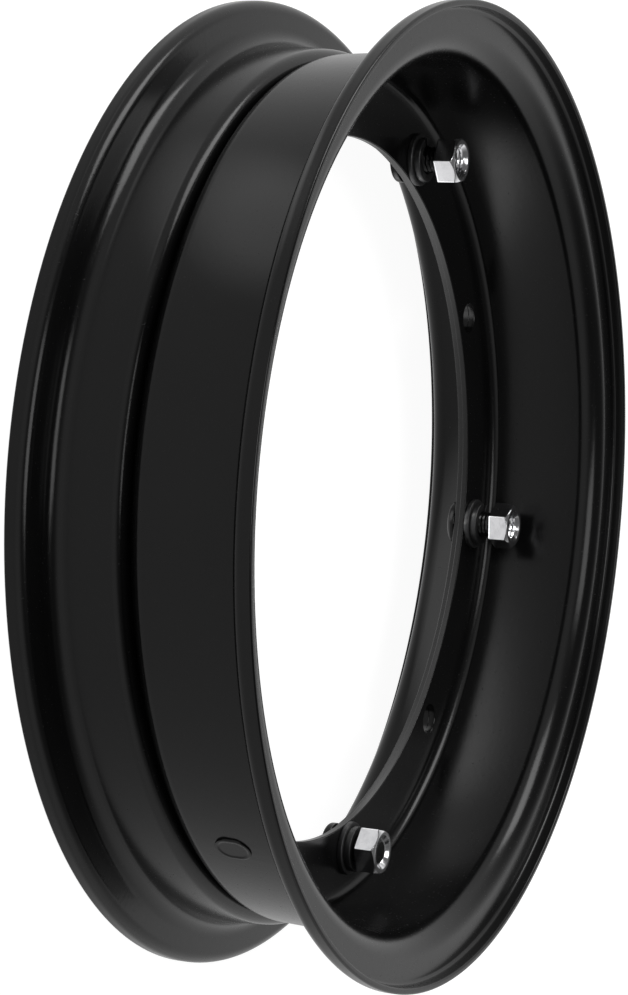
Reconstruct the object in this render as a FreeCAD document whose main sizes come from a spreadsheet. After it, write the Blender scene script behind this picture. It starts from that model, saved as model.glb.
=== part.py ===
import FreeCAD, Part
import math
import os

import Sketcher

# Split rim for a 10 inch scooter tyre: two pressed steel halves bolted together by five studs.
# The wheel lies on its narrow half. The axle line is Z, the hub mounting plane is Z = 0,
# and the first joining stud is on +X.

SIZES = [
    ("sheet", 2.0),
    ("seat_radius", 125.6),
    ("wide_seat_taper", 1.3),
    ("narrow_seat_step", 1.4),
    ("narrow_seat_taper", 1.5),
    ("lip_height", 15.3),
    ("narrow_flare_drop", 17.6),
    ("wide_flare_rise", 38.6),
    ("lip_turn", 6.4),
    ("flare_lean", 0.6),
    ("pitch_inset", 15.1),
    ("bore_inset", 7.8),
    ("narrow_bore_step", 1.3),
    ("narrow_corner_bend", 1.5),
    ("wide_corner_bend", 3.2),
    ("seat_bend", 5.0),
    ("lip_bend", 1.2),
    ("edge_round", 0.7),
    ("bore_edge_round", 0.3),
    ("stud_count", 5),
    ("stud_hole_radius", 4.3),
    ("hub_hole_radius", 4.75),
    ("valve_hole_radius", 4.2),
    ("valve_hole_rise", 20.5),
    ("valve_angle", 103.0),
    ("mark_angle", 233.6),
    ("mark_rise", 18.25),
    ("mark_length", 10.5),
    ("mark_width", 8.6),
    ("mark_height", 0.5),
    ("stud_radius", 4.0),
    ("stud_end_rise", 14.8),
    ("stud_end_chamfer", 0.8),
    ("stud_head_radius", 7.0),
    ("stud_head_height", 2.4),
    ("washer_radius", 8.0),
    ("washer_thick", 1.6),
    ("washer_hole_radius", 4.3),
    ("spring_washer_radius", 6.8),
    ("spring_washer_thick", 2.0),
    ("spring_washer_hole_radius", 4.2),
    ("spring_washer_slit", 1.4),
    ("nut_flats", 13.0),
    ("nut_height", 6.5),
    ("nut_bore_radius", 4.05),
    ("nut_bore_chamfer", 0.9),
    ("nut_crown_radius", 6.2),
    ("nut_crown_drop", 0.75),
    ("nut_1_gap", 4.5),
    ("nut_2_gap", 4.6),
    ("nut_3_gap", 1.1),
    ("nut_4_gap", 2.7),
    ("nut_5_gap", 1.5),
]

# Radii that follow the bead seat: the lip stands a fixed height over it, and the stud circle
# and the centre bore keep their distance inside it.
LIP = "(Spec.seat_radius + Spec.lip_height)"
PITCH = "(Spec.seat_radius - Spec.pitch_inset)"
WIDE_BORE = "(Spec.seat_radius - Spec.pitch_inset - Spec.bore_inset)"
NARROW_BORE = "(Spec.seat_radius - Spec.pitch_inset - Spec.bore_inset + Spec.narrow_bore_step)"
WIDE_BASE = "(Spec.seat_radius + Spec.wide_seat_taper)"
NARROW_SEAT = "(Spec.seat_radius + Spec.narrow_seat_step)"
NARROW_BASE = "(Spec.seat_radius + Spec.narrow_seat_step + Spec.narrow_seat_taper)"
WIDE_EDGE = "(Spec.wide_flare_rise + Spec.lip_turn)"
NARROW_EDGE = "(Spec.narrow_flare_drop + Spec.lip_turn)"

# The nuts are run on by hand: each stopped at its own angle, and at its own gap over its washers.
NUT_TURNS = [42.2, 2.3, 17.0, 49.0, 8.0]

doc = FreeCAD.newDocument("split_rim")
spec = doc.addObject("Spreadsheet::Sheet", "Spec")
for row, (alias, value) in enumerate(SIZES, start=1):
    spec.set(f"A{row}", alias)
    spec.set(f"B{row}", str(value))
    spec.setAlias(f"B{row}", alias)
doc.recompute()


def size(alias):
    return float(spec.get(alias))


def new_body(name):
    body = doc.addObject("PartDesign::Body", name)
    body.Label = name
    return body


def origin_feature(body, role):
    return [item for item in body.Origin.OriginFeatures if item.Role == role][0]


def new_sketch(body, name, plane):
    sketch = body.newObject("Sketcher::SketchObject", name)
    sketch.AttachmentSupport = [(origin_feature(body, plane), "")]
    sketch.MapMode = "FlatFace"
    return sketch


def bind(sketch, kind, parts, name, formula):
    """Adds a driving dimension whose value follows the sheet."""
    index = sketch.addConstraint(Sketcher.Constraint(kind, *parts, 1.0))
    sketch.renameConstraint(index, name)
    sketch.setExpression(f"Constraints.{name}", formula)


def place(sketch, geo, pos, name, across, along):
    """Ties one point to the sketch's axes. A formula with a minus sign lies on the negative side."""
    for kind, axis, formula in (("DistanceX", -2, across), ("DistanceY", -1, along)):
        label = f"{name}_{kind[-1]}"
        if formula == "0":
            sketch.addConstraint(Sketcher.Constraint("PointOnObject", geo, pos, axis))
        elif formula.startswith("-"):
            bind(sketch, kind, (geo, pos, -1, 1), label, formula[1:])
        else:
            bind(sketch, kind, (-1, 1, geo, pos), label, formula)


def outline(sketch, points):
    """Closed run of lines through named points, each tied to the sheet by two formulas."""
    vectors = [FreeCAD.Vector(x, y, 0) for _, x, y, _, _ in points]
    count = len(points)
    for k in range(count):
        sketch.addGeometry(Part.LineSegment(vectors[k], vectors[(k + 1) % count]), False)
    for k in range(count):
        sketch.addConstraint(Sketcher.Constraint("Coincident", k, 2, (k + 1) % count, 1))
    for k, (name, _, _, across, along) in enumerate(points):
        place(sketch, k, 1, name, across, along)


def circle(sketch, name, x, y, radius, across, along, formula):
    centre = FreeCAD.Vector(x, y, 0)
    index = sketch.addGeometry(Part.Circle(centre, FreeCAD.Vector(0, 0, 1), radius), False)
    bind(sketch, "Radius", (index,), f"{name}_radius", formula)
    place(sketch, index, 3, name, across, along)


def revolve(body, sketch, name):
    feature = body.newObject("PartDesign::Revolution", name)
    feature.Profile = sketch
    feature.ReferenceAxis = (sketch, ["V_Axis"])
    feature.Angle = 360
    doc.recompute()
    return feature


def ring_edges(shape, spots):
    """Names of the circular edges about Z whose radius and height match one of the spots."""
    names = []
    for number, edge in enumerate(shape.Edges, start=1):
        if not isinstance(edge.Curve, Part.Circle):
            continue
        middle = edge.Curve.Center
        if math.hypot(middle.x, middle.y) > 0.01:
            continue
        for radius, height in spots:
            if abs(edge.Curve.Radius - radius) < 0.02 and abs(middle.z - height) < 0.02:
                names.append(f"Edge{number}")
    return names


def round_edges(body, name, spots, formula, count):
    base = body.Tip
    names = ring_edges(base.Shape, spots)
    if len(names) != count:
        raise RuntimeError(f"{name} found {len(names)} edges, not {count}")
    feature = body.newObject("PartDesign::Fillet", name)
    feature.Base = (base, names)
    feature.setExpression("Radius", formula)
    doc.recompute()


def cut(body, sketch, name, formula, expected):
    """Pocket whose direction is settled by the metal that it takes away."""
    before = body.Tip.Shape.Volume
    feature = body.newObject("PartDesign::Pocket", name)
    feature.Profile = sketch
    feature.setExpression("Length", formula)
    doc.recompute()
    if before - feature.Shape.Volume < 0.5 * expected:
        feature.Reversed = True
        doc.recompute()
    taken = before - feature.Shape.Volume
    if abs(taken - expected) > 0.2 * expected:
        raise RuntimeError(f"{name} takes {taken:.1f}, not {expected:.1f}")
    return feature


def ring_of(body, feature, name):
    pattern = body.newObject("PartDesign::PolarPattern", name)
    pattern.Originals = [feature]
    pattern.Axis = (origin_feature(body, "Z_Axis"), [""])
    pattern.Angle = 360
    pattern.setExpression("Occurrences", "Spec.stud_count")
    body.Tip = pattern
    doc.recompute()


def flange_holes(body, depth):
    """Five holes for the joining studs and, half way between them, five for the hub's studs."""
    sheet = size("sheet")
    pitch = size("seat_radius") - size("pitch_inset")
    for name, side, alias in (("StudHoles", "", "stud_hole_radius"), ("HubHoles", "-", "hub_hole_radius")):
        sketch = new_sketch(body, f"{body.Name}_{name}_Sketch", "XY_Plane")
        x = -pitch if side else pitch
        circle(sketch, "hole", x, 0, size(alias), side + PITCH, "0", f"Spec.{alias}")
        expected = math.pi * size(alias) ** 2 * sheet
        pocket = cut(body, sketch, f"{body.Name}_{name}", depth, expected)
        ring_of(body, pocket, f"{body.Name}_{name}_Ring")


# Narrow half: flange at the joint, bead seat, upright flare and a lip turned parallel to the axle.
lip = size("seat_radius") + size("lip_height")
sheet = size("sheet")
lean = size("flare_lean")
wide_bore = size("seat_radius") - size("pitch_inset") - size("bore_inset")
narrow = new_body("narrow_half")
bore = wide_bore + size("narrow_bore_step")
seat = size("seat_radius") + size("narrow_seat_step")
base = seat + size("narrow_seat_taper")
flare = -size("narrow_flare_drop")
edge = flare - size("lip_turn")
sketch = new_sketch(narrow, "narrow_half_Profile", "XZ_Plane")
outline(sketch, [
    ("bore_top", bore, sheet, NARROW_BORE, "Spec.sheet"),
    ("corner", seat, sheet, NARROW_SEAT, "Spec.sheet"),
    ("base", base, flare, NARROW_BASE, "-Spec.narrow_flare_drop"),
    ("lip", lip, flare - lean, LIP, "-Spec.narrow_flare_drop + Spec.flare_lean"),
    ("lip_edge", lip, edge, LIP, "-" + NARROW_EDGE),
    ("in_lip_edge", lip - sheet, edge, f"{LIP} - Spec.sheet", "-" + NARROW_EDGE),
    ("in_lip", lip - sheet, flare - lean - sheet, f"{LIP} - Spec.sheet",
     "-Spec.narrow_flare_drop + Spec.flare_lean + Spec.sheet"),
    ("in_base", base - sheet, flare - sheet, f"{NARROW_BASE} - Spec.sheet",
     "-Spec.narrow_flare_drop + Spec.sheet"),
    ("in_corner", seat - sheet, 0, f"{NARROW_SEAT} - Spec.sheet", "0"),
    ("bore_bottom", bore, 0, NARROW_BORE, "0"),
])
revolve(narrow, sketch, "narrow_half_Pressing")
round_edges(narrow, "narrow_Corner", [(seat, sheet)], "Spec.narrow_corner_bend + Spec.sheet", 1)
round_edges(narrow, "narrow_CornerIn", [(seat - sheet, 0)], "Spec.narrow_corner_bend", 1)
round_edges(narrow, "narrow_Base", [(base, flare)], "Spec.seat_bend", 1)
round_edges(narrow, "narrow_BaseIn", [(base - sheet, flare - sheet)], "Spec.seat_bend + Spec.sheet", 1)
round_edges(narrow, "narrow_Lip", [(lip, flare - lean)], "Spec.lip_bend + Spec.sheet", 1)
round_edges(narrow, "narrow_LipIn", [(lip - sheet, flare - lean - sheet)], "Spec.lip_bend", 1)
round_edges(narrow, "narrow_Edge", [(lip, edge), (lip - sheet, edge)], "Spec.edge_round", 2)
round_edges(narrow, "narrow_Bore", [(bore, 0), (bore, sheet)], "Spec.bore_edge_round", 2)
flange_holes(narrow, "2 * Spec.sheet")

# Wide half: the same section the other way up, with a long barrel.
wide = new_body("wide_half")
bore = wide_bore
seat = size("seat_radius")
base = seat + size("wide_seat_taper")
flare = size("wide_flare_rise")
edge = flare + size("lip_turn")
sketch = new_sketch(wide, "wide_half_Profile", "XZ_Plane")
outline(sketch, [
    ("bore_bottom", bore, sheet, WIDE_BORE, "Spec.sheet"),
    ("corner", seat, sheet, "Spec.seat_radius", "Spec.sheet"),
    ("base", base, flare, WIDE_BASE, "Spec.wide_flare_rise"),
    ("lip", lip, flare + lean, LIP, "Spec.wide_flare_rise + Spec.flare_lean"),
    ("lip_edge", lip, edge, LIP, WIDE_EDGE),
    ("in_lip_edge", lip - sheet, edge, f"{LIP} - Spec.sheet", WIDE_EDGE),
    ("in_lip", lip - sheet, flare + lean + sheet, f"{LIP} - Spec.sheet",
     "Spec.wide_flare_rise + Spec.flare_lean + Spec.sheet"),
    ("in_base", base - sheet, flare + sheet, f"{WIDE_BASE} - Spec.sheet", "Spec.wide_flare_rise + Spec.sheet"),
    ("in_corner", seat - sheet, 2 * sheet, "Spec.seat_radius - Spec.sheet", "2 * Spec.sheet"),
    ("bore_top", bore, 2 * sheet, WIDE_BORE, "2 * Spec.sheet"),
])
revolve(wide, sketch, "wide_half_Pressing")
round_edges(wide, "wide_Corner", [(seat, sheet)], "Spec.wide_corner_bend + Spec.sheet", 1)
round_edges(wide, "wide_CornerIn", [(seat - sheet, 2 * sheet)], "Spec.wide_corner_bend", 1)
round_edges(wide, "wide_Base", [(base, flare)], "Spec.seat_bend", 1)
round_edges(wide, "wide_BaseIn", [(base - sheet, flare + sheet)], "Spec.seat_bend + Spec.sheet", 1)
round_edges(wide, "wide_Lip", [(lip, flare + lean)], "Spec.lip_bend + Spec.sheet", 1)
round_edges(wide, "wide_LipIn", [(lip - sheet, flare + lean + sheet)], "Spec.lip_bend", 1)
round_edges(wide, "wide_Edge", [(lip, edge), (lip - sheet, edge)], "Spec.edge_round", 2)
round_edges(wide, "wide_Bore", [(bore, sheet), (bore, 2 * sheet)], "Spec.bore_edge_round", 2)
flange_holes(wide, "3 * Spec.sheet")

# Valve hole through the barrel.
sketch = new_sketch(wide, "wide_half_Valve_Sketch", "XZ_Plane")
sketch.AttachmentOffset = FreeCAD.Placement(
    FreeCAD.Vector(0, 0, 0), FreeCAD.Rotation(FreeCAD.Vector(0, 1, 0), size("valve_angle") - 90))
circle(sketch, "valve", 0, size("valve_hole_rise"), size("valve_hole_radius"),
       "0", "Spec.valve_hole_rise", "Spec.valve_hole_radius")
cut(wide, sketch, "wide_half_Valve", LIP, math.pi * size("valve_hole_radius") ** 2 * sheet)

# Bare oval pad, raised on the tyre side of the barrel.
reach = size("seat_radius") - 0.5 * sheet
turn = math.radians(size("mark_angle"))
sketch = new_sketch(wide, "wide_half_Mark_Sketch", "YZ_Plane")
sketch.AttachmentOffset = FreeCAD.Placement(
    FreeCAD.Vector(reach * math.sin(turn), size("mark_rise"), reach * math.cos(turn)),
    FreeCAD.Rotation(FreeCAD.Vector(0, 1, 0), size("mark_angle")))
half = size("mark_width") / 2
rise = (size("mark_length") - size("mark_width")) / 2
up = FreeCAD.Vector(0, 0, 1)
for centre, start, end in ((rise, 0, math.pi), (-rise, math.pi, 2 * math.pi)):
    sketch.addGeometry(Part.ArcOfCircle(Part.Circle(FreeCAD.Vector(0, centre, 0), up, half), start, end), False)
for x, y in ((-half, rise), (half, -rise)):
    sketch.addGeometry(Part.LineSegment(FreeCAD.Vector(x, y, 0), FreeCAD.Vector(x, -y, 0)), False)
for first, first_end, second, second_end in ((0, 2, 2, 1), (2, 2, 1, 1), (1, 2, 3, 1), (3, 2, 0, 1)):
    sketch.addConstraint(Sketcher.Constraint("Tangent", first, first_end, second, second_end))
sketch.addConstraint(Sketcher.Constraint("Vertical", 2))
bind(sketch, "Radius", (0,), "end_radius", "Spec.mark_width / 2")
place(sketch, 0, 3, "upper", "0", "(Spec.mark_length - Spec.mark_width) / 2")
place(sketch, 1, 3, "lower", "0", "-(Spec.mark_length - Spec.mark_width) / 2")
before = wide.Tip.Shape.Volume
pad = wide.newObject("PartDesign::Pad", "wide_half_Mark")
pad.Profile = sketch
pad.setExpression("Length", "Spec.sheet / 2 + Spec.mark_height + Spec.wide_seat_taper / 2")
doc.recompute()
if pad.Shape.Volume <= before:
    raise RuntimeError("the mark's pad adds nothing")

# Joining stud: flat head under the narrow half, shank up through both flanges.
# Washer, spring washer and nut stand on the wide half's flange.
stack = size("washer_thick") + size("spring_washer_thick")
pieces = [narrow, wide]


def stand(body, number, turned, rise):
    """Stands a piece on the stud circle at its own stud."""
    angle = f"{number} * 360 / Spec.stud_count"
    rotation = number * 360.0 / size("stud_count") + turned
    body.Placement = FreeCAD.Placement(
        FreeCAD.Vector(0, 0, 0), FreeCAD.Rotation(FreeCAD.Vector(0, 0, 1), rotation))
    body.setExpression("Placement.Base.x", f"{PITCH} * cos({angle} * 1 deg)")
    body.setExpression("Placement.Base.y", f"{PITCH} * sin({angle} * 1 deg)")
    body.setExpression("Placement.Base.z", rise)
    pieces.append(body)


def make_stud(number):
    body = new_body(f"stud_{number + 1}")
    head, shank = size("stud_head_radius"), size("stud_radius")
    low, end, slope = size("stud_head_height"), size("stud_end_rise"), size("stud_end_chamfer")
    sketch = new_sketch(body, f"{body.Name}_Profile", "XZ_Plane")
    outline(sketch, [
        ("head_middle", 0, -low, "0", "-Spec.stud_head_height"),
        ("head_low", head, -low, "Spec.stud_head_radius", "-Spec.stud_head_height"),
        ("head_high", head, 0, "Spec.stud_head_radius", "0"),
        ("shank_low", shank, 0, "Spec.stud_radius", "0"),
        ("shank_high", shank, end - slope, "Spec.stud_radius", "Spec.stud_end_rise - Spec.stud_end_chamfer"),
        ("end_side", shank - slope, end, "Spec.stud_radius - Spec.stud_end_chamfer", "Spec.stud_end_rise"),
        ("end_middle", 0, end, "0", "Spec.stud_end_rise"),
    ])
    revolve(body, sketch, f"{body.Name}_Turning")
    stand(body, number, 0, "0")


def make_ring(name, outer, inner, thick):
    body = new_body(name)
    sketch = new_sketch(body, f"{body.Name}_Sketch", "XY_Plane")
    circle(sketch, "outer", 0, 0, size(outer), "0", "0", f"Spec.{outer}")
    circle(sketch, "inner", 0, 0, size(inner), "0", "0", f"Spec.{inner}")
    pad = body.newObject("PartDesign::Pad", f"{body.Name}_Pad")
    pad.Profile = sketch
    pad.setExpression("Length", f"Spec.{thick}")
    doc.recompute()
    return body


def make_washer(number):
    body = make_ring(f"washer_{number + 1}", "washer_radius", "washer_hole_radius", "washer_thick")
    stand(body, number, 0, "2 * Spec.sheet")


def make_spring_washer(number):
    body = make_ring(f"spring_washer_{number + 1}", "spring_washer_radius",
                     "spring_washer_hole_radius", "spring_washer_thick")
    outer, inner, slit = size("spring_washer_radius"), size("spring_washer_hole_radius"), size("spring_washer_slit")
    sketch = new_sketch(body, f"{body.Name}_Slit_Sketch", "XY_Plane")
    half = "Spec.spring_washer_slit / 2"
    outline(sketch, [
        ("near_low", inner - 1, -slit / 2, "Spec.spring_washer_hole_radius - 1", "-" + half),
        ("far_low", outer + 1, -slit / 2, "Spec.spring_washer_radius + 1", "-" + half),
        ("far_high", outer + 1, slit / 2, "Spec.spring_washer_radius + 1", half),
        ("near_high", inner - 1, slit / 2, "Spec.spring_washer_hole_radius - 1", half),
    ])
    expected = slit * (outer - inner) * size("spring_washer_thick")
    cut(body, sketch, f"{body.Name}_Slit", "Spec.spring_washer_thick", expected)
    stand(body, number, 40 + NUT_TURNS[number], "2 * Spec.sheet + Spec.washer_thick")


def make_nut(number):
    body = new_body(f"nut_{number + 1}")
    corner = size("nut_flats") / math.sqrt(3)
    tall = size("nut_height")
    half = "Spec.nut_flats / 2"
    point = "Spec.nut_flats / sqrt(3)"
    middle = "Spec.nut_flats / sqrt(12)"
    sketch = new_sketch(body, f"{body.Name}_Hexagon", "XY_Plane")
    outline(sketch, [
        ("east", corner, 0, point, "0"),
        ("north_east", corner / 2, corner * 0.866, middle, half),
        ("north_west", -corner / 2, corner * 0.866, "-" + middle, half),
        ("west", -corner, 0, "-" + point, "0"),
        ("south_west", -corner / 2, -corner * 0.866, "-" + middle, "-" + half),
        ("south_east", corner / 2, -corner * 0.866, middle, "-" + half),
    ])
    pad = body.newObject("PartDesign::Pad", f"{body.Name}_Pad")
    pad.Profile = sketch
    pad.setExpression("Length", "Spec.nut_height")
    doc.recompute()
    sketch = new_sketch(body, f"{body.Name}_Bore_Sketch", "XY_Plane")
    circle(sketch, "bore", 0, 0, size("nut_bore_radius"), "0", "0", "Spec.nut_bore_radius")
    cut(body, sketch, f"{body.Name}_Bore", "Spec.nut_height", math.pi * size("nut_bore_radius") ** 2 * tall)
    crown, drop = size("nut_crown_radius"), size("nut_crown_drop")
    wide_out = corner + 1
    slope = drop / (corner - crown)
    sketch = new_sketch(body, f"{body.Name}_Crown_Sketch", "XZ_Plane")
    fall = "Spec.nut_crown_drop * (Spec.nut_flats / sqrt(3) + 1 - Spec.nut_crown_radius)"
    fall += " / (Spec.nut_flats / sqrt(3) - Spec.nut_crown_radius)"
    outline(sketch, [
        ("crown", crown, tall, "Spec.nut_crown_radius", "Spec.nut_height"),
        ("out_low", wide_out, tall - slope * (wide_out - crown), f"{point} + 1", f"Spec.nut_height - {fall}"),
        ("out_high", wide_out, tall, f"{point} + 1", "Spec.nut_height"),
    ])
    before = body.Tip.Shape.Volume
    groove = body.newObject("PartDesign::Groove", f"{body.Name}_Crown")
    groove.Profile = sketch
    groove.ReferenceAxis = (sketch, ["V_Axis"])
    groove.Angle = 360
    doc.recompute()
    if groove.Shape.Volume >= before:
        raise RuntimeError("the nut's crown takes nothing")
    names = ring_edges(groove.Shape, [(size("nut_bore_radius"), tall)])
    if len(names) != 1:
        raise RuntimeError("the nut's open end was not found")
    chamfer = body.newObject("PartDesign::Chamfer", f"{body.Name}_Countersink")
    chamfer.Base = (groove, names)
    chamfer.setExpression("Size", "Spec.nut_bore_chamfer")
    doc.recompute()
    stand(body, number, NUT_TURNS[number],
          f"2 * Spec.sheet + Spec.washer_thick + Spec.spring_washer_thick + Spec.nut_{number + 1}_gap")


for number in range(int(size("stud_count"))):
    make_stud(number)
    make_washer(number)
    make_spring_washer(number)
    make_nut(number)
doc.recompute()

for item in doc.Objects:
    if "Invalid" in item.State or "Error" in item.State:
        raise RuntimeError(f"{item.Name} failed: {item.State}")
for piece in pieces:
    if piece.Shape.isNull() or not piece.Shape.isValid() or len(piece.Shape.Solids) != 1:
        raise RuntimeError(f"{piece.Label} is not one sound solid")

os.makedirs("parts", exist_ok=True)
for piece in pieces:
    piece.Shape.exportStep(f"parts/{piece.Label}.step")
    box = piece.Shape.BoundBox
    print(f"{piece.Label}: volume {piece.Shape.Volume:.1f}, z {box.ZMin:.2f} to {box.ZMax:.2f}")
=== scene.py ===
import math

import bmesh
import bpy
from mathutils import Matrix, Vector


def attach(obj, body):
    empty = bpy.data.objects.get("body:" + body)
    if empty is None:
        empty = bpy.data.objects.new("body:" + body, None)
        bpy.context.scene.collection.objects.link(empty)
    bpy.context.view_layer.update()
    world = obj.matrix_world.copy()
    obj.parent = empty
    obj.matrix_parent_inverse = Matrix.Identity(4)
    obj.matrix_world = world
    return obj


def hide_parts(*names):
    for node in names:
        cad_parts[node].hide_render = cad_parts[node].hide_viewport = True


MM = 0.001

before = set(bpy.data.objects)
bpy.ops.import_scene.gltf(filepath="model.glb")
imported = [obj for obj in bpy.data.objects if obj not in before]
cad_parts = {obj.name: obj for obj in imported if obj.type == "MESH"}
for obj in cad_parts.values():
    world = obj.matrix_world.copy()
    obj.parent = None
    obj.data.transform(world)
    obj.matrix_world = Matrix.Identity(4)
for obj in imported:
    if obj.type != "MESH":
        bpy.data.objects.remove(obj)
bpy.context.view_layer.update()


# Sizes of the wheel in millimetres, as in the part's source.
SHEET = 2.0
PITCH = 110.5
STUDS = 5
FLANGE_JOINT = 2.0
STUD_HOLE = 4.3
HUB_HOLE = 4.75
VALVE_HOLE = 4.2
VALVE_RISE = 20.5
VALVE_ANGLE = 103.0
MARK_ANGLE = 233.6
MARK_RISE = 18.25
NUT_TURNS = [42.2, 2.3, 17.0, 49.0, 8.0]
NUT_GAPS = [4.5, 4.6, 1.1, 2.7, 1.5]
WASHER_THICK = 1.6
SPRING_WASHER_THICK = 2.0
PAPER_LEVEL = -24.0
FULL_TURN = 2 * math.pi


# ---------------------------------------------------------------- shader maths

class Signal:
    """A socket of a material's node tree that takes part in Python expressions."""

    def __init__(self, finish, socket):
        self.finish = finish
        self.socket = socket

    def maths(self, operation, first, second):
        return self.finish.node("ShaderNodeMath", {"operation": operation}, {0: first, 1: second})

    def __add__(self, other):
        return self.maths("ADD", self, other)

    def __radd__(self, other):
        return self.maths("ADD", other, self)

    def __sub__(self, other):
        return self.maths("SUBTRACT", self, other)

    def __rsub__(self, other):
        return self.maths("SUBTRACT", other, self)

    def __mul__(self, other):
        return self.maths("MULTIPLY", self, other)

    def __rmul__(self, other):
        return self.maths("MULTIPLY", other, self)

    def at_least(self, other):
        return self.maths("MAXIMUM", self, other)


class Finish:
    """A material that is built from nodes."""

    def __init__(self, name):
        self.material = bpy.data.materials.new(name)
        self.material.use_nodes = True
        self.tree = self.material.node_tree
        self.tree.nodes.clear()
        self.output = self.tree.nodes.new("ShaderNodeOutputMaterial")

    def feed(self, socket, value):
        if isinstance(value, Signal):
            self.tree.links.new(value.socket, socket)
        else:
            socket.default_value = value

    def node(self, kind, settings=None, values=None, out=0):
        """Adds a node: its settings first, then the numbers or links of its sockets."""
        made = self.tree.nodes.new(kind)
        for key, value in (settings or {}).items():
            setattr(made, key, value)
        for key, value in (values or {}).items():
            self.feed(made.inputs[key], value)
        return Signal(self, made.outputs[out])

    def place(self):
        return self.node("ShaderNodeTexCoord", out="Object")

    def noise(self, scale, detail=2.0, rough=0.5, where=None):
        return self.node("ShaderNodeTexNoise", {"noise_dimensions": "3D"}, {
            "Vector": where or self.place(), "Scale": scale, "Detail": detail, "Roughness": rough})

    def stretch(self, scale):
        return self.node("ShaderNodeMapping", values={"Vector": self.place(), "Scale": scale})

    def ramp(self, value, low, high):
        """0 below low, 1 above high, straight between them."""
        return self.node("ShaderNodeMapRange", {"clamp": True},
                         {"Value": value, "From Min": low, "From Max": high, "To Min": 0.0, "To Max": 1.0})

    def tint(self, share, first, second):
        """Mixes two colours."""
        made = self.tree.nodes.new("ShaderNodeMix")
        made.data_type = "RGBA"
        self.feed(made.inputs[0], share)
        self.feed(made.inputs[6], first)
        self.feed(made.inputs[7], second)
        return Signal(self, made.outputs[2])

    def bump(self, height, strength, distance):
        return self.node("ShaderNodeBump", values={
            "Height": height, "Strength": strength, "Distance": distance})

    def surface(self, **values):
        """The Principled shader, its sockets given by name with _ for a space."""
        shader = self.node("ShaderNodeBsdfPrincipled", values={
            key.replace("_", " "): value for key, value in values.items()})
        self.tree.links.new(shader.socket, self.output.inputs["Surface"])
        return self.material


def grey(value, blue=1.0):
    return (value, value, value * blue, 1.0)


def enamel():
    """Stoved black enamel: an even gloss with fine orange peel and a few dull patches."""
    f = Finish("black_enamel")
    cloud = f.noise(22.0, 3.0)
    film = f.noise(160.0, 2.0)
    peel = f.noise(620.0, 1.5)
    fine = f.noise(2600.0, 1.0)
    dust = f.ramp(f.noise(1500.0, 0.0), 0.76, 0.82)
    base = f.tint(f.ramp(cloud, 0.35, 0.7), grey(0.0028, 1.03), grey(0.0042, 1.02))
    base = f.tint(dust * 0.25, base, grey(0.02))
    rough = 0.15 + cloud * 0.06 + film * 0.03 + dust * 0.12
    relief = peel * 0.8 + fine * 0.2
    normal = f.bump(relief, 0.28, 0.00005)
    return f.surface(Base_Color=base, Roughness=rough, Normal=normal, IOR=1.5, Specular_IOR_Level=0.22)


def chrome():
    """Bright plate over turned and broached steel."""
    f = Finish("nut_chrome")
    rings = f.noise(1.0, 2.0, where=f.stretch((120.0, 120.0, 3800.0)))
    film = f.noise(420.0, 2.0)
    pits = f.ramp(f.noise(2400.0, 1.0), 0.68, 0.8)
    base = f.tint(f.ramp(film, 0.4, 0.75), grey(0.83, 1.02), grey(0.7, 1.03))
    base = f.tint(pits * 0.35, base, grey(0.4))
    rough = 0.1 + film * 0.06 + rings * 0.05 + pits * 0.12
    normal = f.bump(rings * 0.6 + film * 0.4, 0.18, 0.00003)
    return f.surface(Base_Color=base, Metallic=1.0, Roughness=rough, Normal=normal)


def blackened():
    """Spring steel with a thin black oxide, rubbed brighter in places."""
    f = Finish("dark_steel")
    cloud = f.noise(260.0, 3.0, 0.6)
    grain = f.noise(3200.0, 2.0)
    rub = f.ramp(cloud, 0.55, 0.72)
    base = f.tint(rub, grey(0.05, 1.02), grey(0.14, 0.98))
    rough = 0.42 - rub * 0.1 + grain * 0.1
    normal = f.bump(grain, 0.25, 0.00004)
    return f.surface(Base_Color=base, Metallic=0.85, Roughness=rough, Normal=normal)


# ---------------------------------------------------------------- mesh helpers

def arc_points(before, corner, after, radius, step=7.5):
    """Points of the arc that rounds a corner of a section, with one more point close to each end of it."""
    a = (before - corner).normalized()
    b = (after - corner).normalized()
    half = a.angle(b) / 2
    reach = radius / math.tan(half)
    centre = corner + (a + b).normalized() * (radius / math.sin(half))
    start = corner + a * reach
    sweep = math.pi - 2 * half
    count = max(3, math.ceil(math.degrees(sweep) / step))
    first = start - centre
    sign = 1 if first.cross(corner + b * reach - centre) > 0 else -1
    spots = []
    for k in range(count + 1):
        angle = sign * sweep * k / count
        turned = Vector((first.x * math.cos(angle) - first.y * math.sin(angle),
                         first.x * math.sin(angle) + first.y * math.cos(angle)))
        spots.append(centre + turned)
    hold = min(0.3, 0.25 * radius)
    return [spots[0] + a * hold] + spots + [spots[-1] + b * hold]


def rounded(section):
    """Closed section: (radius, height, rounding) for each corner, in millimetres."""
    corners = [Vector((r, z)) for r, z, _ in section]
    spots = []
    for k, (_, _, radius) in enumerate(section):
        spots += arc_points(corners[k - 1], corners[k], corners[(k + 1) % len(corners)], radius)
    return spots


def skin(name, rows, ring=False):
    """Closed skin over rows of points that run round; a ring joins its last row to its first."""
    mesh = bpy.data.meshes.new(name)
    width = len(rows[0])
    points = [(x * MM, y * MM, z * MM) for row in rows for x, y, z in row]
    faces = []
    for k in range(len(rows) if ring else len(rows) - 1):
        low, high = k * width, (k + 1) % len(rows) * width
        for j in range(width):
            n = (j + 1) % width
            faces.append((low + j, low + n, high + n, high + j))
    if not ring:
        faces.append(tuple(reversed(range(width))))
        faces.append(tuple(range((len(rows) - 1) * width, len(rows) * width)))
    mesh.from_pydata(points, [], faces)
    tidy_mesh(mesh)
    piece = bpy.data.objects.new(name, mesh)
    bpy.context.collection.objects.link(piece)
    return piece


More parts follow.
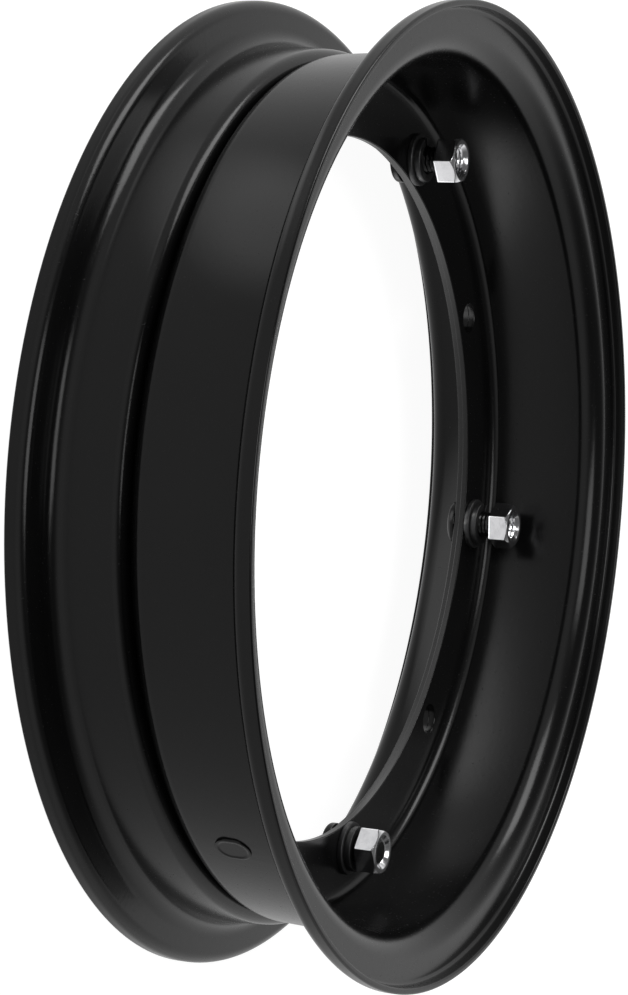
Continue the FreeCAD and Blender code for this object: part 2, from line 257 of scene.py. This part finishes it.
def tidy_mesh(mesh, sharp=30.0):
    work = bmesh.new()
    work.from_mesh(mesh)
    bmesh.ops.remove_doubles(work, verts=work.verts, dist=0.5e-6)
    bmesh.ops.recalc_face_normals(work, faces=work.faces)
    work.to_mesh(mesh)
    work.free()
    mesh.shade_smooth()
    mesh.set_sharp_from_angle(angle=math.radians(sharp))


def turned(name, section, sides=48):
    """Template turned about Z. A section that starts and ends near the axis is capped there."""
    ring = min(r for r, _ in section) > 1.0
    rows = [[(r * math.cos(FULL_TURN * j / sides), r * math.sin(FULL_TURN * j / sides), z)
             for j in range(sides)] for r, z in section]
    return skin(name, rows, ring)


# ---------------------------------------------------------------- geometry trees

class Tree:
    """A geometry node tree with named inputs."""

    def __init__(self, name, inputs):
        self.group = bpy.data.node_groups.new(name, "GeometryNodeTree")
        face = self.group.interface
        face.new_socket("Geometry", in_out="INPUT", socket_type="NodeSocketGeometry")
        self.sockets = {}
        for label, kind in inputs:
            made = face.new_socket(label, in_out="INPUT", socket_type="NodeSocket" + kind)
            self.sockets[label] = made.identifier
        face.new_socket("Geometry", in_out="OUTPUT", socket_type="NodeSocketGeometry")
        self.start = self.group.nodes.new("NodeGroupInput")
        self.end = self.group.nodes.new("NodeGroupOutput")

    def given(self, label):
        return self.start.outputs[label]

    def node(self, kind, settings=None, values=None, out=0):
        made = self.group.nodes.new(kind)
        for key, value in (settings or {}).items():
            setattr(made, key, value)
        for key, value in (values or {}).items():
            several = value if isinstance(value, list) else [value]
            for item in several:
                if isinstance(item, bpy.types.NodeSocket):
                    self.group.links.new(item, made.inputs[key])
                else:
                    made.inputs[key].default_value = item
        return made.outputs[out]

    def finish(self, geometry):
        """Ends the tree with real geometry in the given material."""
        real = self.node("GeometryNodeRealizeInstances", values={"Geometry": geometry})
        done = self.node("GeometryNodeSetMaterial", values={
            "Geometry": real, "Material": self.given("Material")})
        self.group.links.new(done, self.end.inputs[0])

    def make(self, name, base, values):
        """Runs the tree on a base object and returns the result as a plain piece."""
        modifier = base.modifiers.new("Shape", "NODES")
        modifier.node_group = self.group
        for label, value in values.items():
            modifier[self.sockets[label]] = value
        base.update_tag()
        bpy.context.view_layer.update()
        seen = base.evaluated_get(bpy.context.evaluated_depsgraph_get())
        mesh = bpy.data.meshes.new_from_object(seen)
        mesh.name = name
        base.modifiers.remove(modifier)
        tidy_mesh(mesh)
        piece = bpy.data.objects.new(name, mesh)
        bpy.context.collection.objects.link(piece)
        return piece


def lathe_tree():
    """Turns a section about the axle, adds a raised pad, and pierces the rings of holes."""
    tree = Tree("pressed_half", [
        ("Middle radius", "Float"), ("Sides", "Int"), ("Hole count", "Int"), ("Pitch radius", "Float"),
        ("Stud hole", "Object"), ("Hub hole", "Object"), ("Valve hole", "Object"), ("Raised pad", "Object"),
        ("Material", "Material")])
    path = tree.node("GeometryNodeCurvePrimitiveCircle", {"mode": "RADIUS"},
                     {"Resolution": tree.given("Sides"), "Radius": tree.given("Middle radius")})
    path = tree.node("GeometryNodeSetCurveNormal", {"mode": "Z_UP"}, {"Curve": path})
    section = tree.node("GeometryNodeMeshToCurve", values={"Mesh": tree.given("Geometry")})
    body = tree.node("GeometryNodeCurveToMesh", values={"Curve": path, "Profile Curve": section})
    pad = tree.node("GeometryNodeObjectInfo", values={"Object": tree.given("Raised pad")}, out="Geometry")
    body = tree.node("GeometryNodeMeshBoolean", {"operation": "UNION", "solver": "EXACT"},
                     {"Mesh 2": [body, pad]})
    dots = tree.node("GeometryNodeMeshCircle", values={
        "Vertices": tree.given("Hole count"), "Radius": tree.given("Pitch radius")})
    half_way = tree.node("ShaderNodeMath", {"operation": "DIVIDE"}, {0: math.pi, 1: tree.given("Hole count")})
    swing = tree.node("ShaderNodeCombineXYZ", values={"Z": half_way})
    between = tree.node("GeometryNodeTransform", values={"Geometry": dots, "Rotation": swing})
    valve = tree.given("Valve hole")
    cutters = [tree.node("GeometryNodeObjectInfo", values={"Object": valve}, out="Geometry")]
    for spots, label in ((dots, "Stud hole"), (between, "Hub hole")):
        tool = tree.node("GeometryNodeObjectInfo", values={"Object": tree.given(label)}, out="Geometry")
        cutters.append(tree.node("GeometryNodeInstanceOnPoints", values={"Points": spots, "Instance": tool}))
    joined = tree.node("GeometryNodeJoinGeometry", values={"Geometry": cutters})
    tools = tree.node("GeometryNodeRealizeInstances", values={"Geometry": joined})
    tree.finish(tree.node("GeometryNodeMeshBoolean", {"operation": "DIFFERENCE", "solver": "EXACT"},
                          {"Mesh 1": body, "Mesh 2": tools}))
    return tree


def fastener_tree():
    """Stands a copy of one fastener on each point, turned by the point's own angle."""
    tree = Tree("stud_circle_row", [("Fastener", "Object"), ("Material", "Material")])
    tool = tree.node("GeometryNodeObjectInfo", values={"Object": tree.given("Fastener")}, out="Geometry")
    angle = tree.node("GeometryNodeInputNamedAttribute", {"data_type": "FLOAT"}, {"Name": "turn"})
    swing = tree.node("ShaderNodeCombineXYZ", values={"Z": angle})
    tree.finish(tree.node("GeometryNodeInstanceOnPoints", values={
        "Points": tree.given("Geometry"), "Instance": tool, "Rotation": swing}))
    return tree


# ---------------------------------------------------------------- pressed halves

WIDE_SECTION = [
    (102.7, 2.0, 0.3), (125.6, 2.0, 5.2), (126.9, 38.6, 5.0), (140.9, 39.2, 3.2), (140.9, 45.0, 0.7),
    (138.9, 45.0, 0.7), (138.9, 41.2, 1.2), (124.9, 40.6, 7.0), (123.6, 4.0, 3.2), (102.7, 4.0, 0.3)]
NARROW_SECTION = [
    (104.0, 2.0, 0.3), (127.0, 2.0, 3.5), (128.5, -17.6, 5.0), (140.9, -18.2, 3.2), (140.9, -24.0, 0.7),
    (138.9, -24.0, 0.7), (138.9, -20.2, 1.2), (126.5, -19.6, 7.0), (125.0, 0.0, 1.5), (104.0, 0.0, 0.3)]
MIDDLE = 122.0


def section_wire(name, section):
    """The section as a closed wire round the tree's circular path."""
    spots = rounded(section)
    mesh = bpy.data.meshes.new(name)
    mesh.from_pydata([((p.x - MIDDLE) * MM, -p.y * MM, 0.0) for p in spots],
                     [(k, (k + 1) % len(spots)) for k in range(len(spots))], [])
    wire = bpy.data.objects.new(name, mesh)
    bpy.context.collection.objects.link(wire)
    return wire


def punch(name, radius, low, high, break_edge=0.12):
    """Cutter for a hole whose two edges are broken at 45 degrees."""
    out = radius + break_edge + 1.0
    return turned(name, [(0.2, low - 1), (out, low - 1), (radius, low + break_edge),
                         (radius, high - break_edge), (out, high + 1), (0.2, high + 1)])


def oval_pad():
    """Bare oval pad of the barrel, its rim broken and its face a little sunk."""
    half, rise = 4.3, 0.95
    foot, face = 125.0, 126.75
    levels = [(0.0, foot), (0.0, face - 0.42), (0.03, face - 0.32), (0.16, face - 0.09),
              (0.3, face - 0.02), (0.42, face), (0.75, face), (0.9, face - 0.03),
              (1.12, face - 0.16), (1.3, face - 0.2), (1.6, face - 0.2)]
    rows = []
    for inset, height in levels:
        row = []
        for j in range(64):
            angle = FULL_TURN * (j + 0.5) / 64
            reach = half - inset
            y = reach * math.cos(angle)
            z = reach * math.sin(angle) + math.copysign(rise, math.sin(angle))
            row.append((height, y, z + MARK_RISE))
        rows.append(row)
    pad = skin("oval_pad", rows)
    pad.data.transform(Matrix.Rotation(math.radians(MARK_ANGLE), 4, "Z"))
    return pad


def pressed_halves(material):
    tree = lathe_tree()
    valve = punch("valve_tool", VALVE_HOLE, 124.26, 126.26)
    valve.data.transform(Matrix.Translation((0, 0, VALVE_RISE * MM))
                         @ Matrix.Rotation(math.radians(VALVE_ANGLE - 90), 4, "Z")
                         @ Matrix.Rotation(math.radians(-90), 4, "X"))
    pad = oval_pad()
    made = []
    for name, section, low, extra, raised in (
            ("wide_half_pressing", WIDE_SECTION, FLANGE_JOINT, valve, pad),
            ("narrow_half_pressing", NARROW_SECTION, FLANGE_JOINT - SHEET, None, None)):
        tools = [punch("stud_tool", STUD_HOLE, low, low + SHEET),
                 punch("hub_tool", HUB_HOLE, low, low + SHEET)]
        wire = section_wire(name + "_wire", section)
        values = {"Middle radius": MIDDLE * MM, "Sides": 240, "Hole count": STUDS, "Pitch radius": PITCH * MM,
                  "Stud hole": tools[0], "Hub hole": tools[1], "Material": material}
        if extra:
            values.update({"Valve hole": extra, "Raised pad": raised})
        made.append(tree.make(name, wire, values))
        for spare in tools + [wire]:
            bpy.data.objects.remove(spare)
    bpy.data.objects.remove(valve)
    bpy.data.objects.remove(pad)
    return made


# ---------------------------------------------------------------- fasteners

def thread(radius, depth, height, angle, pitch=1.25):
    """Radius of a screw thread at a height and an angle."""
    phase = (height / pitch - angle / FULL_TURN) % 1.0
    return radius - depth * abs(2 * phase - 1)


def hex_nut():
    """Hexagon nut, its open end crowned, countersunk and threaded."""
    flats, tall, crown = 6.5, 6.5, 6.2
    corner = flats / math.cos(math.pi / 6)
    slope = 0.75 / (corner - crown)
    bend = 0.45
    outline = []
    for side in range(6):
        middle = side * math.pi / 3 + math.pi / 6
        along = Vector((-math.sin(middle), math.cos(middle)))
        centre = Vector((math.cos(middle), math.sin(middle))) * flats
        reach = flats * math.tan(math.pi / 6) - bend * math.tan(math.pi / 6)
        for step in (-1.0, -0.95, -0.75, -0.5, -0.25, 0.0, 0.25, 0.5, 0.75, 0.95, 1.0):
            outline.append((centre + along * reach * step, centre.normalized()))
        pivot = centre + along * reach - centre.normalized() * bend
        for step in (0.25, 0.5, 0.75):
            angle = middle + step * math.pi / 3
            facing = Vector((math.cos(angle), math.sin(angle)))
            outline.append((pivot + facing * bend, facing))
    rows = []

    def hexagon(inset, height):
        rows.append([((p - n * inset).x, (p - n * inset).y, height) for p, n in outline])

    def circle(radius, height):
        rows.append([(p.normalized().x * radius, p.normalized().y * radius, height) for p, _ in outline])

    def roof(share, sink=0.0):
        """Row on the crown's cone, from the hexagon's edge at 0 to the crown's circle at 1."""
        row = []
        for p, _ in outline:
            spot = p * (1 - share) + p.normalized() * crown * share
            row.append((spot.x, spot.y, tall - slope * (spot.length - crown) - sink))
        rows.append(row)

    def wall(below):
        rows.append([(p.x, p.y, tall - slope * (p.length - crown) - below) for p, _ in outline])

    circle(4.05, 0.3)
    circle(4.35, 0.0)
    circle(5.2, 0.0)
    hexagon(0.55, 0.0)
    hexagon(0.28, 0.0)
    hexagon(0.1, 0.07)
    hexagon(0.0, 0.25)
    hexagon(0.0, 0.5)
    wall(0.45)
    wall(0.22)
    roof(0.06, 0.03)
    roof(0.2)
    roof(0.35)
    roof(0.8)
    roof(0.93)
    circle(crown - 0.08, tall - 0.01)
    circle(crown - 0.25, tall)
    circle(5.2, tall)
    circle(5.05, tall - 0.03)
    circle(4.9, tall - 0.14)
    circle(4.0, tall - 1.0)
    for k in range(30):
        height = tall - 1.05 - k * 1.25 / 8
        row = []
        for p, _ in outline:
            angle = math.atan2(p.y, p.x) % FULL_TURN
            reach = thread(3.95, 0.5, height, angle)
            row.append((p.normalized().x * reach, p.normalized().y * reach, height))
        rows.append(row)
    return skin("hex_nut", rows, ring=True)


def stud():
    """Joining stud: bevelled disc head, shank and a threaded end."""
    rows = []
    sides = 48

    def circle(radius, height):
        rows.append([(radius * math.cos(FULL_TURN * j / sides),
                      radius * math.sin(FULL_TURN * j / sides), height) for j in range(sides)])

    for radius, height in (
            (0.3, -2.28), (2.6, -2.28), (2.9, -2.3), (3.2, -2.38), (3.5, -2.4), (6.1, -2.4), (6.35, -2.36),
            (6.68, -2.2), (6.88, -1.95), (6.96, -1.7), (7.0, -1.4), (7.0, -0.35), (6.96, -0.14),
            (6.86, -0.03), (6.7, 0.0), (4.3, 0.0), (4.05, 0.05), (4.0, 0.3), (4.0, 4.6)):
        circle(radius, height)
    for k in range(64):
        height = 4.8 + k * 1.25 / 8
        rows.append([])
        for j in range(sides):
            angle = FULL_TURN * j / sides
            reach = min(thread(4.0, 0.45, height, angle), 4.0 - max(0.0, height - 14.0))
            rows[-1].append((reach * math.cos(angle), reach * math.sin(angle), height))
    for radius, height in ((3.18, 14.76), (3.05, 14.79), (2.85, 14.8), (0.3, 14.8)):
        circle(radius, height)
    return skin("joining_stud", rows)


def plain_washer():
    return turned("plain_washer", [
        (4.3, 0.2), (4.5, 0.0), (4.8, 0.0), (7.6, 0.0), (7.85, 0.03), (7.97, 0.14), (8.0, 0.3),
        (8.0, 1.1), (7.94, 1.36), (7.78, 1.52), (7.5, 1.6), (7.2, 1.6), (4.75, 1.6), (4.5, 1.57),
        (4.34, 1.45), (4.3, 1.3)], sides=72)


def spring_washer():
    """One turn of square wire, its two ends sheared at a slant."""
    inner, outer, thick, slit = 4.2, 6.8, SPRING_WASHER_THICK, 1.4
    bead = [(inner + 0.5, 0.0), (outer - 0.5, 0.0), (outer - 0.2, 0.03), (outer - 0.05, 0.16),
            (outer, 0.4), (outer, thick - 0.4), (outer - 0.05, thick - 0.16),
            (outer - 0.2, thick - 0.03), (outer - 0.5, thick),
            (inner + 0.5, thick), (inner + 0.2, thick - 0.03), (inner + 0.05, thick - 0.16),
            (inner, thick - 0.4), (inner, 0.4), (inner + 0.05, 0.16), (inner + 0.2, 0.03)]
    middle = Vector(((inner + outer) / 2, thick / 2))
    gap = 0.5 * slit / inner
    steps = [0.0, 0.012, 0.04] + [0.04 + (FULL_TURN - 2 * gap - 0.08) * k / 70 for k in range(1, 70)]
    steps += [FULL_TURN - 2 * gap - 0.04, FULL_TURN - 2 * gap - 0.012, FULL_TURN - 2 * gap]
    rows = []
    for k, step in enumerate(steps):
        end = k in (0, len(steps) - 1)
        near = min(step, steps[-1] - step)
        fade = max(0.0, 1 - near / 0.6)
        row = []
        for r, z in bead:
            spot = Vector((r, z))
            if end:
                spot = middle + (spot - middle) * 0.93
            slant = (spot.y / thick - 0.5) * 0.1 * fade
            angle = gap + step + slant
            row.append((spot.x * math.cos(angle), spot.x * math.sin(angle), spot.y))
        rows.append(row)
    return skin("spring_washer", rows)


def fastener_rows(finishes):
    """Each kind of fastener on the stud circle, as one piece."""
    tree = fastener_tree()
    flange = FLANGE_JOINT + SHEET
    over_washer = flange + WASHER_THICK
    over_spring = over_washer + SPRING_WASHER_THICK
    # Name, node, template, heights, first turn, whether it turns with its nut, finish.
    kinds = (
        ("joining_studs", "stud", stud(), [0.0] * STUDS, 0.0, False, "black_enamel"),
        ("plain_washers", "washer", plain_washer(), [flange] * STUDS, 11.0, True, "dark_steel"),
        ("spring_washers", "spring_washer", spring_washer(), [over_washer] * STUDS, 40.0, True, "dark_steel"),
        ("hex_nuts", "nut", hex_nut(), [over_spring + gap for gap in NUT_GAPS], 0.0, True, "nut_chrome"))
    made = []
    for name, node, template, rises, start, turns, finish in kinds:
        angles = [FULL_TURN * k / STUDS for k in range(STUDS)]
        mesh = bpy.data.meshes.new(name + "_spots")
        mesh.from_pydata([(PITCH * MM * math.cos(a), PITCH * MM * math.sin(a), rise * MM)
                          for a, rise in zip(angles, rises)], [], [])
        turn = mesh.attributes.new("turn", "FLOAT", "POINT")
        for k, a in enumerate(angles):
            turn.data[k].value = a + math.radians(start + (NUT_TURNS[k] if turns else 0.0))
        spots = bpy.data.objects.new(name + "_spots", mesh)
        bpy.context.collection.objects.link(spots)
        piece = tree.make(name, spots, {"Fastener": template, "Material": finishes[finish]})
        made.append((piece, [f"{node}_{k + 1}" for k in range(STUDS)], finish))
        bpy.data.objects.remove(spots)
        bpy.data.objects.remove(template)
    return made


# ---------------------------------------------------------------- the wheel

finishes = {"black_enamel": enamel(), "nut_chrome": chrome(), "dark_steel": blackened()}
halves = pressed_halves(finishes["black_enamel"])
dressed = [(halves[0], ["wide_half"], "black_enamel"), (halves[1], ["narrow_half"], "black_enamel")]
dressed += fastener_rows(finishes)
for piece, nodes, finish in dressed:
    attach(piece, "root")
    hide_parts(*nodes)


# ---------------------------------------------------------------- floor, light and camera

# Painted pools of light on the paper, a glow that only reflections see: place, how far each is full, how far
# it reaches (millimetres), and strength.
PAINTED_LIGHT_POOLS = [
    ((-151.0, 149.0), 30.0, 60.0, 1.2),
    ((89.0, -13.0), 18.0, 36.0, 2.0),
    ((49.0, 34.0), 18.0, 40.0, 3.0)]


def floor_finish():
    """Pale paper with a soft shadow. The enamel mirrors it, with pools of light painted on it as a glow that
    only glossy rays see.
    """
    f = Finish("pale_paper")
    path = f.tree.nodes.new("ShaderNodeLightPath")
    gloss = Signal(f, path.outputs["Is Glossy Ray"])
    seen = Signal(f, path.outputs["Is Camera Ray"]).at_least(Signal(f, path.outputs["Is Transmission Ray"]))
    # Painted light: soft round patches of glow, added for glossy rays only, so the enamel reflects bright
    # pools that no lamp casts.
    painted_pools = 0.0
    for spot, near, far, strength in PAINTED_LIGHT_POOLS:
        reach = f.node("ShaderNodeVectorMath", {"operation": "DISTANCE"},
                       {0: f.place(), 1: (spot[0] * MM, spot[1] * MM, PAPER_LEVEL * MM)}, out="Value")
        painted_pools = f.ramp(reach, far * MM, near * MM) * strength + painted_pools
    paper = f.node("ShaderNodeBsdfDiffuse", values={"Color": grey(0.22)})
    glow = f.node("ShaderNodeEmission", values={
        "Color": grey(1.0), "Strength": seen * 0.94 + gloss * (painted_pools + 0.6)})
    both = f.node("ShaderNodeAddShader", values={0: paper, 1: glow})
    f.tree.links.new(both.socket, f.output.inputs["Surface"])
    return f.material


mesh = bpy.data.meshes.new("floor")
low = PAPER_LEVEL * MM
reach = 6.0
mesh.from_pydata([(-reach, -reach, low), (reach, -reach, low), (reach, reach, low), (-reach, reach, low)],
                 [], [(0, 1, 2, 3)])
mesh.materials.append(floor_finish())
floor = bpy.data.objects.new("floor", mesh)
bpy.context.collection.objects.link(floor)

world = bpy.data.worlds.new("room")
bpy.context.scene.world = world
world.use_nodes = True
room = world.node_tree
room.nodes.clear()
shell = room.nodes.new("ShaderNodeBackground")
path = room.nodes.new("ShaderNodeLightPath")
pick = room.nodes.new("ShaderNodeMath")
pick.operation = "MAXIMUM"
room.links.new(path.outputs["Is Camera Ray"], pick.inputs[0])
room.links.new(path.outputs["Is Transmission Ray"], pick.inputs[1])
# Brighter low down than overhead, where reflections and soft light see it. White where the camera does.
place = room.nodes.new("ShaderNodeTexCoord")
height = room.nodes.new("ShaderNodeSeparateXYZ")
room.links.new(place.outputs["Generated"], height.inputs[0])
walls = room.nodes.new("ShaderNodeMapRange")
walls.interpolation_type = "SMOOTHSTEP"
for key, value in (("From Min", 0.4), ("From Max", 0.85), ("To Min", 1.1), ("To Max", 0.14)):
    walls.inputs[key].default_value = value
room.links.new(height.outputs["Z"], walls.inputs["Value"])
level = room.nodes.new("ShaderNodeMapRange")
level.inputs["To Max"].default_value = 1.0
room.links.new(walls.outputs[0], level.inputs["To Min"])
room.links.new(pick.outputs[0], level.inputs["Value"])
room.links.new(level.outputs[0], shell.inputs["Strength"])
end = room.nodes.new("ShaderNodeOutputWorld")
room.links.new(shell.outputs[0], end.inputs["Surface"])


def soft_lamp(name, spot, aim, width, height, power):
    lamp = bpy.data.lights.new(name, "AREA")
    lamp.shape = "RECTANGLE"
    lamp.size, lamp.size_y = width, height
    lamp.energy = power
    holder = bpy.data.objects.new(name, lamp)
    holder.location = spot
    holder.rotation_euler = (Vector(aim) - Vector(spot)).to_track_quat("-Z", "Y").to_euler()
    bpy.context.collection.objects.link(holder)


soft_lamp("overhead", (-0.45, 0.1, 1.2), (0, 0, 0), 0.6, 0.6, 4.5)
soft_lamp("side", (0.05, 1.1, 0.85), (0, 0, 0.02), 0.9, 0.5, 9.0)

camera = bpy.data.objects.new("camera", bpy.data.cameras.new("camera"))
camera.data.lens = 99.6
camera.data.sensor_width = 36.0
camera.data.clip_start = 0.02
# The camera's right, up and backward directions, and its place, as fitted to both lip circles.
axes = [Vector((0.40895, 0.10191, 0.90685)),
        Vector((-0.09702, 0.99297, -0.06784)),
        Vector((-0.90739, -0.06024, 0.41595))]
stand = Matrix.Translation((-0.73228, -0.05133, 0.3324))
camera.matrix_world = stand @ Matrix(axes).transposed().to_4x4()
bpy.context.collection.objects.link(camera)
bpy.context.scene.camera = camera
bpy.context.scene.view_settings.view_transform = "Standard"
